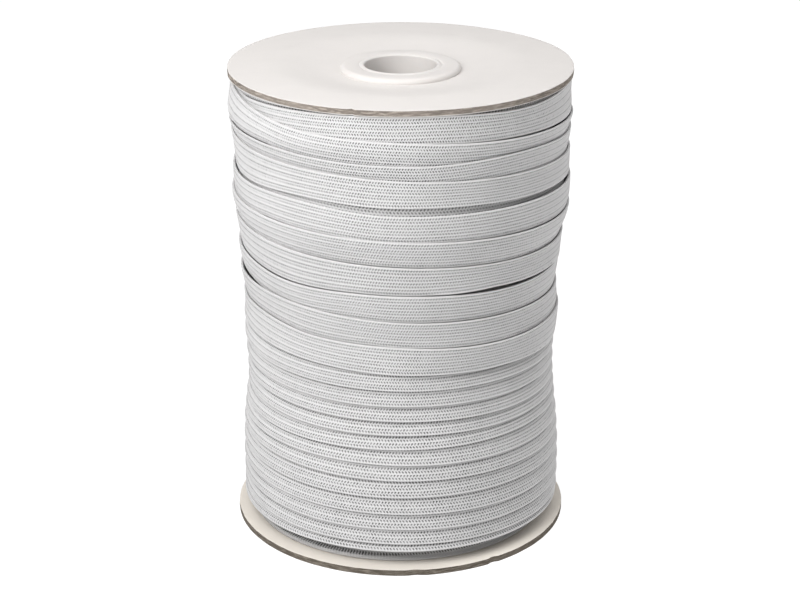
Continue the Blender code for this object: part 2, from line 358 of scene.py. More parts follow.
@dataclass(frozen=True)
class LiningPaper:
    """Uncoated white paper pasted on board: smooth and matt, faintly clouded and fibrous."""

    name: str = "white_lining_paper"
    paper: str = "#dad6d3"
    clouds: float = 160.0  # to the metre, so about 6 mm across
    fibres: float = 2600.0  # to the metre, so about 0.4 mm long
    cloud_tones: Pair = (0.985, 1.012)
    fibre_tones: Pair = (0.99, 1.008)
    bump: float = 0.03 * MM

    def make(self) -> bpy.types.Material:
        """Builds the node material on object coordinates.

        Returns:
            The material.
        """
        material, tree, shader = new_material(self.name)
        place = add_node(tree, "TexCoord", output="Object")
        cloudy = {"Vector": place, "Scale": self.clouds, "Detail": 5.0, "Roughness": 0.6}
        clouds = add_node(tree, "TexNoise", cloudy)
        fibres = add_node(tree, "TexNoise", {"Vector": place, "Scale": self.fibres, "Detail": 3.0})
        cloud_tone = add_node(tree, "MapRange", ramp(clouds, self.cloud_tones))
        fibre_tone = add_node(tree, "MapRange", ramp(fibres, self.fibre_tones))
        tone = add_node(tree, "Math", {0: cloud_tone, 1: fibre_tone}, operation="MULTIPLY")
        toned = add_node(tree, "VectorMath", {0: linear(self.paper)[:3], 3: tone}, operation="SCALE")
        bump = add_node(tree, "Bump", {"Strength": 0.25, "Distance": self.bump, "Height": fibres})
        fill(tree, shader, {
            "Base Color": toned,
            "Normal": bump,
            "Roughness": 0.7,
            "Specular IOR Level": 0.35,
        })
        return material


@dataclass(frozen=True)
class CutGreyboard:
    """Grey-brown chipboard, die cut: fibre layers torn into streaks, paler and darker by turns, no gloss."""

    name: str = "die_cut_greyboard"
    fibre: str = "#958c84"
    pale: str = "#bdb3a8"
    dark: str = "#5a534c"
    streaks: float = 420.0  # to the metre, so about 2.4 mm long
    thinner: float = 7.0  # how much thinner than long a streak is
    patches: float = 85.0  # to the metre, so about 12 mm across
    streak_range: Pair = (0.42, 0.68)  # of the noise, from dark to pale
    patch_range: Pair = (0.35, 0.65)
    evened: Pair = (0.25, 0.7)  # how far the plain fibre colour takes over
    bump: float = 0.12 * MM

    def make(self) -> bpy.types.Material:
        """Builds the node material, its streaks lying flat in the board.

        Returns:
            The material.
        """
        material, tree, shader = new_material(self.name)
        place = add_node(tree, "TexCoord", output="Object")
        lying = add_node(tree, "VectorMath", {0: place, 1: (1.0, 1.0, self.thinner)}, operation="MULTIPLY")
        torn = {"Vector": lying, "Scale": self.streaks, "Detail": 6.0, "Roughness": 0.65}
        plies = add_node(tree, "TexNoise", torn)
        patches = add_node(tree, "TexNoise", {"Vector": place, "Scale": self.patches, "Detail": 3.0})
        streaky = ramp(plies, (0.0, 1.0), *self.streak_range)
        pale = add_node(tree, "MapRange", streaky, interpolation_type="SMOOTHSTEP")
        mixed = {"Factor": pale, 6: linear(self.dark), 7: linear(self.pale)}
        light = add_node(tree, "Mix", mixed, 2, data_type="RGBA")
        even = add_node(tree, "MapRange", ramp(patches, self.evened, *self.patch_range))
        mixed = {"Factor": even, 6: light, 7: linear(self.fibre)}
        colour = add_node(tree, "Mix", mixed, 2, data_type="RGBA")
        bump = add_node(tree, "Bump", {"Strength": 0.7, "Distance": self.bump, "Height": plies})
        fill(tree, shader, {
            "Base Color": colour,
            "Normal": bump,
            "Roughness": 0.95,
            "Specular IOR Level": 0.2,
        })
        return material


@dataclass(frozen=True)
class WoundPaper:
    """Spiral-wound grey paper of a core tube: dull, fibrous, with the butted edges of its strip showing."""

    name: str = "spiral_wound_paper"
    paper: str = "#b8afa1"
    seam: str = "#7d7468"
    strip: float = 42.0 * MM
    seam_half: float = 0.004  # of the strip's width, so 0.17 mm
    seam_fades: float = 0.012
    fibres: float = 900.0  # to the metre, so about 1.1 mm long
    fibre_tones: Pair = (0.9, 1.06)
    bump: float = 0.1 * MM

    def make(self) -> bpy.types.Material:
        """Builds the node material, its seam climbing once around in each strip width.

        Returns:
            The material.
        """
        material, tree, shader = new_material(self.name)
        place = add_node(tree, "TexCoord", output="Object")
        x = add_node(tree, "SeparateXYZ", {0: place}, "X")
        y = add_node(tree, "SeparateXYZ", {0: place}, "Y")
        z = add_node(tree, "SeparateXYZ", {0: place}, "Z")
        angle = add_node(tree, "Math", {0: y, 1: x}, operation="ARCTAN2")
        share = add_node(tree, "Math", {0: angle, 1: 1.0 / TAU}, operation="MULTIPLY")
        climb = add_node(tree, "Math", {0: z, 1: 1.0 / self.strip, 2: share}, operation="MULTIPLY_ADD")
        from_seam = add_node(tree, "Math", {0: climb, 1: 0.5}, operation="PINGPONG")
        seam = add_node(tree, "MapRange", ramp(from_seam, (1.0, 0.0), self.seam_half, self.seam_fades))
        fibres = add_node(tree, "TexNoise", {"Vector": place, "Scale": self.fibres, "Detail": 6.0})
        mixed = {"Factor": seam, 6: linear(self.paper), 7: linear(self.seam)}
        colour = add_node(tree, "Mix", mixed, 2, data_type="RGBA")
        tone = add_node(tree, "MapRange", ramp(fibres, self.fibre_tones))
        toned = add_node(tree, "VectorMath", {0: colour, 3: tone}, operation="SCALE")
        height = add_node(tree, "Math", {0: fibres, 1: seam}, operation="SUBTRACT")
        bump = add_node(tree, "Bump", {"Strength": 0.5, "Distance": self.bump, "Height": height})
        fill(tree, shader, {
            "Base Color": toned,
            "Normal": bump,
            "Roughness": 0.92,
        })
        return material


@dataclass(frozen=True)
class MouldedPolypropylene:
    """White polypropylene, injection moulded: a soft low gloss, slightly waxy, the mould's fine texture."""

    name: str = "moulded_white_polypropylene"
    plastic: str = "#dad6d3"
    grain: float = 2200.0  # to the metre, so about 0.45 mm across
    flow: float = 130.0  # to the metre, so about 8 mm across
    gloss_range: Pair = (0.6, 0.7)  # roughness
    flow_tones: Pair = (0.985, 1.0)
    bump: float = 0.03 * MM
    reach: tuple[float, float, float] = (1.2 * MM, 1.0 * MM, 0.9 * MM)  # of red, green and blue light in it

    def make(self) -> bpy.types.Material:
        """Builds the node material on object coordinates.

        Returns:
            The material.
        """
        material, tree, shader = new_material(self.name)
        place = add_node(tree, "TexCoord", output="Object")
        grain = add_node(tree, "TexNoise", {"Vector": place, "Scale": self.grain, "Detail": 3.0})
        flow = add_node(tree, "TexNoise", {"Vector": place, "Scale": self.flow, "Detail": 3.0})
        rough = add_node(tree, "MapRange", ramp(flow, self.gloss_range))
        tone = add_node(tree, "MapRange", ramp(flow, self.flow_tones))
        toned = add_node(tree, "VectorMath", {0: linear(self.plastic)[:3], 3: tone}, operation="SCALE")
        bump = add_node(tree, "Bump", {"Strength": 0.15, "Distance": self.bump, "Height": grain})
        fill(tree, shader, {
            "Base Color": toned,
            "Normal": bump,
            "Roughness": rough,
            "Specular IOR Level": 0.35,
            "IOR": 1.49,
            "Subsurface Weight": 0.1,
            "Subsurface Radius": self.reach,
            "Subsurface Scale": 1.0,
        })
        return material


@dataclass(frozen=True)
class PaleCard:
    """Pale uncoated card under the roll: quite dull, with a grain that only just shows."""

    name: str = "pale_card"
    card: str = "#909090"
    glow: float = 0.88
    grain: float = 700.0  # to the metre, so about 1.4 mm across
    grain_tones: Pair = (0.997, 1.003)

    def make(self) -> bpy.types.Material:
        """Builds the node material on object coordinates.

        Returns:
            The material.
        """
        material, tree, shader = new_material(self.name)
        place = add_node(tree, "TexCoord", output="Object")
        grain = add_node(tree, "TexNoise", {"Vector": place, "Scale": self.grain, "Detail": 3.0})
        tone = add_node(tree, "MapRange", ramp(grain, self.grain_tones, 0.0, 1.0))
        toned = add_node(tree, "VectorMath", {0: linear(self.card)[:3], 3: tone}, operation="SCALE")
        fill(tree, shader, {
            "Base Color": toned,
            "Emission Color": (1.0, 1.0, 1.0, 1.0),
            "Emission Strength": self.glow,
            "Roughness": 1.0,
            "Specular IOR Level": 0.0,
        })
        return material


# The wound band


@dataclass(frozen=True)
class Turn:
    """The crease above one turn."""

    front: float  # height at the front
    lean: float  # how much more it falls from left to right than an even helix


@dataclass(frozen=True)
class Girth:
    """The winding's outer radius at one height, on the viewer's left and right."""

    height: float
    left: float
    right: float


@dataclass(frozen=True)
class Swell:
    """A stretch where an edge rises or hangs, or a gap stands open, fading out to both sides."""

    turn: int
    angle: float
    spread: float  # degrees to either side
    height: float

    def at(self, turn: np.ndarray) -> np.ndarray:
        """Reads the swell's height.

        Args:
            turn: Places along the band.

        Returns:
            The heights, zero beyond the spread.
        """
        away = np.abs(360.0 * (turn - self.turn) - self.angle) / self.spread
        return np.where(away < 1.0, self.height * np.cos(0.5 * math.pi * away) ** 2, 0.0)


@dataclass(frozen=True)
class Sway:
    """A small wave of the band along its length."""

    reach: float
    per_turn: float
    start: float

    def at(self, turn: np.ndarray) -> np.ndarray:
        """How far the band has swayed at each place."""
        return self.reach * np.sin(TAU * self.per_turn * turn + self.start)


@dataclass(frozen=True)
class Route:
    """Where the band runs on the roll, from the upper flange to the lower."""

    gap: float = 0.12  # between the flange and the first turn's edge
    first: float = -13.0 / 48.0  # where the first whole turn comes out from under the flange
    last: float = 20.0 + 29.0 / 48.0  # where the last turn's lower edge takes over from the creases
    top_dip: Swell = Swell(0, 47.0, 38.0, 0.95)  # where a turn hangs below the flange, and how far
    notch: float = 1.3  # how far the turn before the first sinks on the viewer's left
    notch_from: float = -1.03
    notch_over: float = 0.15
    lean_sets_in: float = 0.125  # turns that the first turn takes to lean
    low_edge: float = 5.4
    low_lean: float = 0.1
    outermost: float = 8.5  # the turns lie under the one below them before here, and above it after
    change_over: float = 0.5
    slipped_from: float = 6.02  # between these one turn's upper edge has slipped in under the turn above it
    slipped_to: float = 6.3
    slips_in_over: float = 0.06
    slips_out_over: float = 0.1
    fade: float = 1.5  # a crease this far from the next has its full curve
    belly: float = 1.6  # how late a turn's face curves in to its tucked edge
    clearance: float = 0.05
    tucked_deeper: float = 0.4  # how much deeper the lower turns are tucked
    gap_deepens: float = 0.3  # how much deeper a turn lies for each millimetre of opening above it
    gap_deepens_low: float = 0.5  # and how much more than that among the lower turns
    least_face: float = 3.0  # the band tilts no more than a face of this height would let it
    tuck: float = 0.15  # how far an edge goes in under the next turn at a closed crease
    untucks_over: float = 0.3  # the opening at which it has come out
    edge_roll: float = 0.45  # how far an edge rolls up at a wide gap
    rolls_over: float = 0.8  # the opening at which it has
    stretch: float = 2.0  # how much wider the band may lie where a turn stands far from the next
    apart_over: float = 0.5  # turns this far from touching no longer press on each other
    free_depth: float = 0.3  # depth of a far edge that no turn covers
    rises: tuple[Swell, ...] = (
        Swell(0, -45.0, 48.0, -1.2),
        Swell(1, -55.0, 45.0, 0.7),
        Swell(1, 42.0, 40.0, 0.95),
        Swell(3, -38.0, 36.0, 0.85),
        Swell(6, -42.0, 30.0, -0.6),
        Swell(6, 45.0, 45.0, -0.45),
        Swell(7, -50.0, 55.0, 0.9),
        Swell(8, -60.0, 32.0, 1.0),
    )
    turns: tuple[Turn, ...] = (
        Turn(104.65, 1.0),
        Turn(99.25, 0.0),
        Turn(95.95, 0.9),
        Turn(87.9, -0.3),
        Turn(81.9, 0.6),
        Turn(75.7, 0.85),
        Turn(68.7, 0.1),
        Turn(62.1, 0.5),
        Turn(56.15, 0.1),
        Turn(49.5, 1.2),
        Turn(45.45, 0.2),
        Turn(41.4, 0.1),
        Turn(37.7, 0.0),
        Turn(34.35, -0.1),
        Turn(30.9, -0.7),
        Turn(27.15, -0.1),
        Turn(23.5, 0.0),
        Turn(19.25, -0.2),
        Turn(14.95, -0.2),
        Turn(11.1, -0.2),
        Turn(7.35, 0.0),
    )
    girths: tuple[Girth, ...] = (
        Girth(5.0, 38.4, 38.5),
        Girth(14.0, 38.4, 38.7),
        Girth(25.0, 38.2, 38.2),
        Girth(30.0, 37.6, 37.6),
        Girth(36.0, 37.0, 37.1),
        Girth(44.0, 37.2, 36.9),
        Girth(50.0, 37.7, 37.6),
        Girth(55.0, 37.3, 37.9),
        Girth(59.5, 37.6, 37.3),
        Girth(66.0, 38.2, 37.9),
        Girth(73.0, 38.5, 38.4),
        Girth(77.5, 38.9, 39.5),
        Girth(81.5, 39.6, 40.0),
        Girth(85.0, 39.5, 39.9),
        Girth(92.0, 39.1, 39.6),
        Girth(99.0, 39.6, 39.8),
        Girth(102.5, 40.3, 40.1),
        Girth(107.0, 39.6, 39.6),
        Girth(110.0, 39.2, 39.6),
    )
    open_creases: tuple[Swell, ...] = (
        Swell(0, 62.0, 50.0, 0.35),
        Swell(3, 20.0, 110.0, 1.85),
        Swell(6, 46.0, 44.0, 1.35),
        Swell(7, -72.0, 34.0, 0.8),
        Swell(9, 38.0, 46.0, 1.0),
    )

    def top_rim(self, turn: np.ndarray | float) -> np.ndarray:
        """Height of the band's upper edge where it lies close under the flange."""
        return SPOOL_HEIGHT - BOARD - self.gap - self.top_dip.at(turn - np.rint(turn))

    def low_rim(self, turn: np.ndarray | float) -> np.ndarray | float:
        """Height of the last turn's lower edge."""
        return self.low_edge - self.low_lean * np.sin(TAU * turn)

    def crease(self, turn: np.ndarray) -> np.ndarray:
        """Finds the crease between the turn before a place and the turn at it.

        Args:
            turn: Places along the band.

        Returns:
            The crease's heights.
        """
        places = np.asarray(turn, float)
        knots = [(self.first, float(self.top_rim(self.first)))]
        knots += [(float(index), row.front) for index, row in enumerate(self.turns)]
        knots += [(self.last, float(self.low_rim(self.last)))]
        leans = np.array([row.lean for row in self.turns])
        lean = leans[np.clip(np.rint(places).astype(int), 0, len(leans) - 1)] * np.sin(TAU * places)
        ease = np.clip((places - self.first) / self.lean_sets_in, 0.0, 1.0)
        height = smooth_through(knots, places) - lean * ease
        for rise in self.rises:
            height = height + rise.at(places)
        sinks = smooth_step((self.notch_from - places) / self.notch_over)
        sunk = self.top_rim(places) - self.notch * sinks
        height = np.where(places < self.first, sunk, height)
        return np.where(places > self.last, self.low_rim(places), height)

    def girth(self, height: np.ndarray, turn: np.ndarray) -> np.ndarray:
        """Finds the winding's outer radius.

        Args:
            height: Heights on the roll.
            turn: Places along the band.

        Returns:
            The radii, one for each pair.
        """
        left = smooth_through([(row.height, row.left) for row in self.girths], height)
        right = smooth_through([(row.height, row.right) for row in self.girths], height)
        return 0.5 * (left + right) + 0.5 * (right - left) * np.sin(TAU * turn)

    def opening(self, turn: np.ndarray) -> np.ndarray:
        """Height of the gap that stands open above a turn's upper edge."""
        return sum((crease.at(turn) for crease in self.open_creases), np.zeros_like(turn))

    def covered(self, turn: np.ndarray) -> np.ndarray:
        """How far a place is down among the turns that lie under the one above them, from 0 to 1."""
        return smooth_step((turn - self.outermost) / self.change_over + 0.5)

    def tucked_above(self, turn: np.ndarray) -> np.ndarray:
        """Says how far a turn's upper edge is tucked under the turn above it.

        Args:
            turn: Places along the band.

        Returns:
            The shares, from 0 to 1.
        """
        slips_in = smooth_step((turn - self.slipped_from) / self.slips_in_over)
        slipped = slips_in * smooth_step((self.slipped_to - turn) / self.slips_out_over)
        return np.maximum(self.covered(turn), slipped)

    def cover(self, turn: np.ndarray) -> np.ndarray:
        """Measures how far the tucked turn lies inside the free edge at a crease.

        Args:
            turn: Places along the band.

        Returns:
            The depths.
        """
        covered = self.covered(turn)
        closed = BAND_THICKNESS + self.clearance + self.tucked_deeper * covered
        return closed + (self.gap_deepens + self.gap_deepens_low * covered) * self.opening(turn)

    def drop(self, turn: np.ndarray) -> np.ndarray:
        """Measures the band's width as it stands on the roll, from its upper edge down.

        Args:
            turn: Places along the band.

        Returns:
            The heights from edge to edge.
        """
        pitch = self.crease(turn) - self.crease(turn + 1.0)
        held = np.clip(pitch, self.least_face, BAND_WIDTH)
        stands = BAND_WIDTH * held / np.hypot(held, BAND_THICKNESS)
        opening = self.opening(turn + 1.0)
        reach = pitch + self.tuck - opening - self.tuck * smooth_step(opening / self.untucks_over)
        rolled = self.edge_roll * smooth_step(opening / self.rolls_over) * (1.0 - self.covered(turn))
        return stands + np.clip(reach - stands, -rolled, self.stretch)

    def top(self, turn: np.ndarray) -> np.ndarray:
        """Finds the band's upper edge.

        Args:
            turn: Places along the band.

        Returns:
            The edge's heights.
        """
        from_below = 0.5 * (self.covered(turn) + self.covered(turn + 1.0))
        hung = self.crease(turn)
        stood = self.crease(turn + 1.0) + self.drop(turn)
        return (1.0 - from_below) * hung + from_below * stood

    def lap(self, cover: np.ndarray, pitch: np.ndarray, drop: np.ndarray, down: np.ndarray) -> np.ndarray:
        """Depth of a turn's own face, from its free edge towards its tucked one.

        Args:
            cover: Depth at the crease.
            pitch: Height of the face that shows.
            drop: Height of the whole band.
            down: Distance from the free edge.

        Returns:
            How far the face lies inside the girth.
        """
        apart = smooth_step((pitch - drop) / self.apart_over)
        deepest = cover * (1.0 - apart) + self.free_depth * apart
        start = cover * (1.0 - smooth_step(pitch / self.fade))
        reach = np.maximum(np.minimum(pitch, drop), 1.0e-3)
        return start + (deepest - start) * np.minimum(down / reach, 1.0) ** self.belly

    def depth(self, turn: np.ndarray, down: np.ndarray, levels: int = 3) -> np.ndarray:
        """How far the band's face lies inside the girth.

        Args:
            turn: Places along the band.
            down: Distances below the band's upper edge.
            levels: How many turns on top of each other are followed.

        Returns:
            The depths, one for each place.
        """
        drop = self.drop(turn)
        top = self.top(turn)
        pitch_down = np.maximum(top - self.top(turn + 1.0), 0.0)
        cover_down = self.cover(turn + 1.0)
        hung = self.lap(cover_down, pitch_down, drop, np.clip(down, 0.0, None))
        pitch_up = np.maximum(self.top(turn - 1.0) - self.drop(turn - 1.0) - top + drop, 0.0)
        cover_up = self.cover(turn)
        rise = np.clip(drop - down, 0.0, None)
        stood = self.lap(cover_up, pitch_up, drop, rise)
        if levels:
            below = cover_down + self.depth(turn + 1.0, down - pitch_down, levels - 1)
            hung = np.where(down > pitch_down, below, hung)
            above_down = self.drop(turn - 1.0) - (rise - pitch_up)
            above = cover_up + self.depth(turn - 1.0, above_down, levels - 1)
            stood = np.where(rise > pitch_up, above, stood)
        hung_share = 1.0 - self.tucked_above(turn + 1.0)
        return hung_share * hung + self.tucked_above(turn) * stood


@dataclass(frozen=True)
class BandSection:
    """The braid's cross-section: four pairs of rows of pits between two rounded selvedges."""

    width: float = BAND_WIDTH
    thickness: float = BAND_THICKNESS
    margin: float = 0.66  # from the edge to the first row of pits
    row_gap: float = 0.67  # between the two rows of pits of one pair
    pairs: int = 4
    pit_depth: float = 0.45
    yarn_rise: float = 0.03  # how far the yarn between two pits of a row stands up
    selvedge_dent: float = 0.07  # at every stitch
    ridge_dent: float = 0.03
    uneven: Pair = (0.7, 1.25)  # how one pit or dent varies beside the next

    @property
    def pair(self) -> float:
        """From one pair's first row of pits to the next pair's."""
        return (self.width - 2.0 * self.margin - self.row_gap) / (self.pairs - 1)

    def lines(self) -> list[tuple[float, float, Row]]:
        """The lines that run along the band.

        Returns:
            (distance from the upper edge, depth, kind) of each, down the face and back up behind.
        """
        found = [(across, depth, Row.EDGE) for across, depth in ((0.0, 0.32), (0.03, 0.08), (0.12, 0.03))]
        found.append((0.32, 0.0, Row.SELVEDGE))
        for pair in range(self.pairs):
            early = self.margin + pair * self.pair
            found.append((early, 0.02, Row.EARLY_PITS))
            found.append((early + 0.5 * self.row_gap, 0.01, Row.BETWEEN))
            found.append((early + self.row_gap, 0.02, Row.LATE_PITS))
            if pair < self.pairs - 1:
                found.append((early + 0.5 * (self.row_gap + self.pair), 0.0, Row.RIDGE))
        mirrored = [found[3], found[1], found[0]]
        found += [(self.width - across, depth, kind) for across, depth, kind in mirrored]
        for across in (self.width - 0.2, 0.2):
            found.append((across, self.thickness, Row.BACK))
        return found

    def across(self) -> np.ndarray:
        """Distance of every line from the upper edge."""
        return np.array([across for across, _, _ in self.lines()])


def around(radius: np.ndarray, turn: np.ndarray, height: np.ndarray) -> np.ndarray:
    """Sets points around the roll's axis.

    Args:
        radius: Distances from the axis.
        turn: Places in turns.
        height: Heights over the ground.

    Returns:
        The points, with x, y and z on the last axis.
    """
    angle = TAU * turn
    return np.stack([radius * np.sin(angle), -radius * np.cos(angle), height], axis=2)


@dataclass
class WoundBand:
    """A length of the braided elastic on the roll."""

    route: Route = Route()
    section: BandSection = BandSection()
    starts: float = -1.42
    ends: float = 20.75
    stitch: tuple[Pair, ...] = (
        (-2.0, 0.62),
        (0.0, 0.63),
        (3.0, 0.66),
        (6.0, 0.65),
        (8.0, 0.64),
        (10.0, 0.67),
        (12.0, 0.71),
        (15.0, 0.745),
        (22.0, 0.76),
    )
    pieces: int = 5
    overlap: float = 0.4  # how far a piece starts inside the one before it, in half stitches
    tuck: float = 0.001  # and how much further in it lies there, as a share of the radius
    up_and_down: tuple[Sway, ...] = (Sway(0.06, 2.31, 0.4), Sway(0.04, 5.17, 1.3))
    in_and_out: Sway = Sway(0.04, 3.7, 0.9)
    measured_at: int = 12001  # places at which the band's length is added up
    seed: int = 7
    bake_strips: int = 13

    def columns(self) -> np.ndarray:
        """Places along the band at every half stitch.

        Returns:
            The places, in turns.
        """
        fine = np.linspace(self.starts, self.ends, self.measured_at)
        middle = 0.5 * (fine[1:] + fine[:-1])
        height = self.route.crease(middle)
        length = TAU * self.route.girth(height, middle) * np.diff(fine)
        halves = np.concatenate([[0.0], np.cumsum(2.0 * length / smooth_through(self.stitch, middle))])
        return np.interp(np.linspace(0.0, halves[-1], int(halves[-1]) + 1), halves, fine)

    def relief(self, count: int) -> np.ndarray:
        """Works out the depth of every point of the braid, with its pits and dents.

        Args:
            count: The number of columns.

        Returns:
            An array of columns by lines.
        """
        chance = np.random.default_rng(self.seed)
        section = self.section
        lines = section.lines()
        even = (np.arange(count) % 2 == 0).astype(float)
        depth = np.empty((count, len(lines)))
        for at, (_, base, kind) in enumerate(lines):
            varied = chance.uniform(*section.uneven, count)
            pits = {Row.EARLY_PITS: even, Row.LATE_PITS: 1.0 - even}.get(kind)
            if pits is not None:
                depth[:, at] = base + section.pit_depth * pits * varied - section.yarn_rise * (1.0 - pits)
            elif kind is Row.SELVEDGE:
                depth[:, at] = base + section.selvedge_dent * even * varied
            elif kind is Row.RIDGE:
                depth[:, at] = base + section.ridge_dent * (1.0 - even) * varied
            else:
                depth[:, at] = base
        return depth

    def points(self, turn: np.ndarray, relief: np.ndarray) -> np.ndarray:
        """Places the band's points on the roll.

        Args:
            turn: The columns' places along the band.
            relief: Depth of every point of the braid.

        Returns:
            Points in millimetres, columns by lines by three.
        """
        across = self.section.across()
        places = np.repeat(turn[:, None], len(across), axis=1)
        stand = self.route.drop(places) / self.section.width
        down = across[None, :] * stand
        wander = sum(sway.at(places) for sway in self.up_and_down)
        height = self.route.top(places) - down + wander
        radius = self.route.girth(height, places) - self.route.depth(places, down) - relief
        radius += self.in_and_out.at(places)
        return around(radius, places, height)

    def build(self, finish: bpy.types.Material) -> list[bpy.types.Object]:
        """Makes the whole band in pieces, each of which starts a hair inside the one before it.

        Args:
            finish: The yarn's material.

        Returns:
            The pieces, from the top of the roll down.
        """
        turn = self.columns()
        relief = self.relief(len(turn))
        points = self.points(turn, relief)
        bounds = np.linspace(0, len(turn) - 1, self.pieces + 1).astype(int)
        # Each piece ends at the middle of the back, where its join shows least
        behind = [0]
        for bound in bounds[1:-1]:
            target = math.floor(turn[bound]) + 0.5
            behind.append(int(np.abs(turn - target).argmin()))
        behind.append(len(turn) - 1)
        made = []
        for number, (low, high) in enumerate(zip(behind, behind[1:]), start=1):
            run = points[low:high + 1]
            stitches = np.arange(low, high + 1) * 0.5
            # A join that only met would show as a dark line, so a later piece starts early and further in
            if low:
                lead = points[low] + self.overlap * (points[low - 1] - points[low])
                lead[:, :2] *= 1.0 - self.tuck
                run = np.concatenate([lead[None], run])
                stitches = np.concatenate([[stitches[0] - 0.5 * self.overlap], stitches])
            piece = self.mesh(f"elastic_turns_{number}", run, stitches)
            piece.data.materials.append(finish)
            made.append(piece)
        return made

    def mesh(self, name: str, points: np.ndarray, stitches: np.ndarray) -> bpy.types.Object:
        """Makes one closed length of band.

        Args:
            name: The object's name.
            points: Points in millimetres, columns by lines by three.
            stitches: The columns' places, counted in stitches.

        Returns:
            The object, with the maps BandMap and OFBake.
        """
        count, rows = points.shape[:2]
        number = np.arange(count * rows).reshape(count, rows)
        onward = np.roll(number, -1, axis=1)
        quads = np.stack([number[:-1], onward[:-1], onward[1:], number[1:]], axis=2).reshape(-1, 4)
        faces = quads.tolist() + [number[0][::-1].tolist(), number[-1].tolist()]
        mesh = bpy.data.meshes.new(name)
        mesh.from_pydata((points.reshape(-1, 3) * MM).tolist(), [], faces)
        mesh.shade_smooth()
        for cut_end in mesh.polygons[-2:]:
            cut_end.use_smooth = False

        pair = (self.section.across() - self.section.margin) / self.section.pair
        column, row = np.divmod(quads, rows)
        band_map = np.stack([stitches[column], pair[row]], axis=2).reshape(-1, 2)
        ends = np.concatenate([
            np.stack([np.full(rows, stitches[0]), pair[::-1]], axis=1),
            np.stack([np.full(rows, stitches[-1]), pair], axis=1),
        ])
        layer = mesh.uv_layers.new(name="BandMap")
        layer.data.foreach_set("uv", np.concatenate([band_map, ends]).astype(np.float32).ravel())
        layer = mesh.uv_layers.new(name="OFBake")
        layer.data.foreach_set("uv", self.bake_map(count, rows).astype(np.float32).ravel())
        mesh.validate()
        piece = bpy.data.objects.new(name, mesh)
        bpy.context.scene.collection.objects.link(piece)
        return piece

    def bake_map(self, count: int, rows: int) -> np.ndarray:
        """Lays the band out in strips on one square, so that a baked picture holds its stitches.

        Args:
            count: The number of columns.
            rows: The number of lines across.

        Returns:
            A place on the square for every corner of every face.
        """
        side_gap, strip_gap, face_share = 0.004, 0.03, 0.88
        cap_size, cap_height = 0.01, 0.985
        steps = count - 1
        per_strip = math.ceil(steps / self.bake_strips)
        back = sum(1 for line in self.section.lines() if line[2] is Row.BACK) + 1
        face = np.linspace(0.0, face_share, rows - back + 1)
        shares = np.concatenate([face, np.linspace(face_share, 1.0, back + 1)[1:]])
        step = np.repeat(np.arange(steps), rows)
        row = np.tile(np.arange(rows), steps)
        strip, inside = np.divmod(step, per_strip)
        wide, tall = 1.0 - 2.0 * side_gap, 1.0 - 2.0 * strip_gap
        left, right = (side_gap + wide * (inside + at) / per_strip for at in (0, 1))
        strips = self.bake_strips + 0.5
        low, high = ((strip + strip_gap + tall * shares[row + at]) / strips for at in (0, 1))
        corners = np.stack([left, low, left, high, right, high, right, low], axis=1).reshape(-1, 2)
        # The half strip that is left free at the top takes the two cut ends
        angle = TAU * np.arange(rows) / rows
        cap = np.stack([np.cos(angle), np.sin(angle)], axis=1) * cap_size
        return np.concatenate([corners, cap[::-1] + (0.25, cap_height), cap + (0.75, cap_height)])


@dataclass
class TurnBelow(WoundBand):
    """One turn of the layer under the outer turns, which shows in a gap between them."""

    starts: float = 2.5
    ends: float = 3.5
    stitch: tuple[Pair, ...] = ((-2.0, 0.82), (22.0, 0.82))
    pieces: int = 1
    seed: int = 11
    bake_strips: int = 4
    highest: float = 110.3
    clearance: float = 0.06  # behind the outer turns
    deeper_right: float = 0.5  # how much deeper it lies on the viewer's right
    deepens: float = 0.8  # how fast it gets deeper from the front on
    name: str = "elastic_turn_below"

    def points(self, turn: np.ndarray, relief: np.ndarray) -> np.ndarray:
        """Places the turn's points behind the crease of the outer turns.

        Args:
            turn: The columns' places along the band.
            relief: Depth of every point of the braid.

        Returns:
            Points in millimetres, columns by lines by three.
        """
        across = self.section.across()
        places = np.repeat(turn[:, None], len(across), axis=1)
        top = np.minimum(self.route.crease(places) + 0.5 * self.section.width, self.highest)
        height = top - across[None, :]
        radius = self.route.girth(height, places) - self.lies(places, height) - relief
        return around(radius, places, height)

    def lies(self, places: np.ndarray, height: np.ndarray) -> np.ndarray:
        """Measures how deep the turn's face lies inside the girth.

        Args:
            places: Places along the band.
            height: Heights on the roll.

        Returns:
            The depths.
        """
        above = self.route.depth(places - 1.0, self.route.drop(places - 1.0))
        below = self.route.depth(places, np.zeros_like(places))
        right = smooth_step(0.5 + self.deepens * np.sin(TAU * places))
        behind = np.maximum(above, below) + self.section.thickness + self.clearance
        return behind + self.deeper_right * right

    def build(self, finish: bpy.types.Material) -> list[bpy.types.Object]:
        """Makes the turn in one piece under its own name.

        Args:
            finish: The yarn's material.

        Returns:
            A list of the one piece.
        """
        made = super().build(finish)
        made[0].name = made[0].data.name = self.name
        return made


@dataclass
class TopTurnBelow(TurnBelow):
    """The turn behind the first outer one, pressed out under the flange on the viewer's left."""

    starts: float = -1.5
    ends: float = -0.5
    deep: float = 1.0
    pressed_out: float = 0.75  # how much less deep it lies above the sunken edge of the turn before it
    edge_below: float = 0.1  # it starts this far below the edge
    edge_over: float = 0.5  # and takes this height to come out
    shown_from: float = -1.0
    shown_over: float = 0.12
    name: str = "elastic_top_turn_below"

    def lies(self, places: np.ndarray, height: np.ndarray) -> np.ndarray:
        """Measures how deep the turn's face lies, less above the first outer turn's sunken edge.

        Args:
            places: Places along the band.
            height: Heights on the roll.

        Returns:
            The depths.
        """
        clear = smooth_step((height - self.route.crease(places) + self.edge_below) / self.edge_over)
        shown = smooth_step((self.shown_from - places) / self.shown_over)
        return self.deep - self.pressed_out * clear * shown


